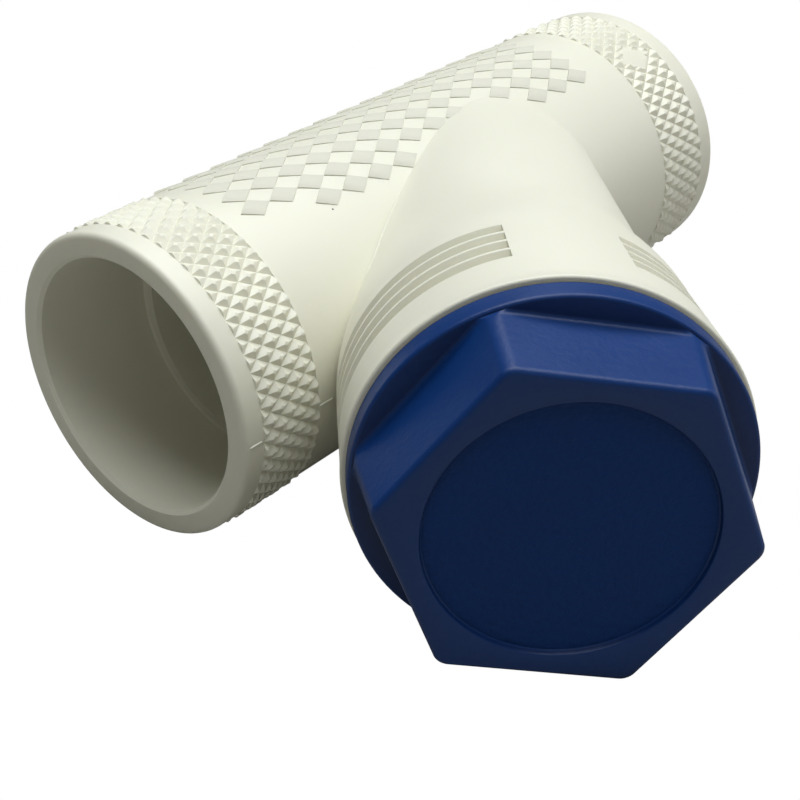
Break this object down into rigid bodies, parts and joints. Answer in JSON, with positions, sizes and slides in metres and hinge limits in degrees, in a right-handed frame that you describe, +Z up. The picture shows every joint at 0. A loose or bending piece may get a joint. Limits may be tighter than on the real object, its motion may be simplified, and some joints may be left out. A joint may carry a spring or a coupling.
{
  "type": "y_pattern_tee_with_access_plug",
  "caption": "Ivory PVC pipe tee whose branch leaves at 45 degrees and is closed by a blue hexagon screw plug over a lift-out strainer, with plain glue sockets at both run ends",
  "frame": {"origin": "centre of the near socket at its pipe stop", "axes": "+X along the run from the near end to the far end, +Z up, branch in the XY plane towards -X and -Y at 45 degrees to the run"},
  "size_m": [0.1098, 0.0936, 0.0454],
  "materials": {
    "ivory_pvc": "satin",
    "blue_plastic": "satin",
    "black_rubber": "matte",
    "grey_plastic": "matte",
    "steel_wire_cloth": "satin"
  },
  "bodies": {
    "body": {"tee_body": "ivory_pvc"},
    "strainer": {"screen_cage": "grey_plastic", "screen_mesh": "steel_wire_cloth", "sealing_washer": "black_rubber"},
    "plug": {"hex_plug": "blue_plastic"}
  },
  "joints": [
    {"name": "plug_lift", "type": "slide", "parent": "body", "child": "strainer", "axis": [-0.7071, -0.7071, 0], "range_m": [0, 0.012]},
    {"name": "plug_turn", "type": "hinge", "parent": "strainer", "child": "plug", "pos_m": [0.0498, 0, 0], "axis": [-0.7071, -0.7071, 0], "range_deg": [0, 1440]}
  ],
  "couplings": [
    {"joint": "plug_lift", "follows": "plug_turn", "m_per_rad": 0.00047746}
  ]
}
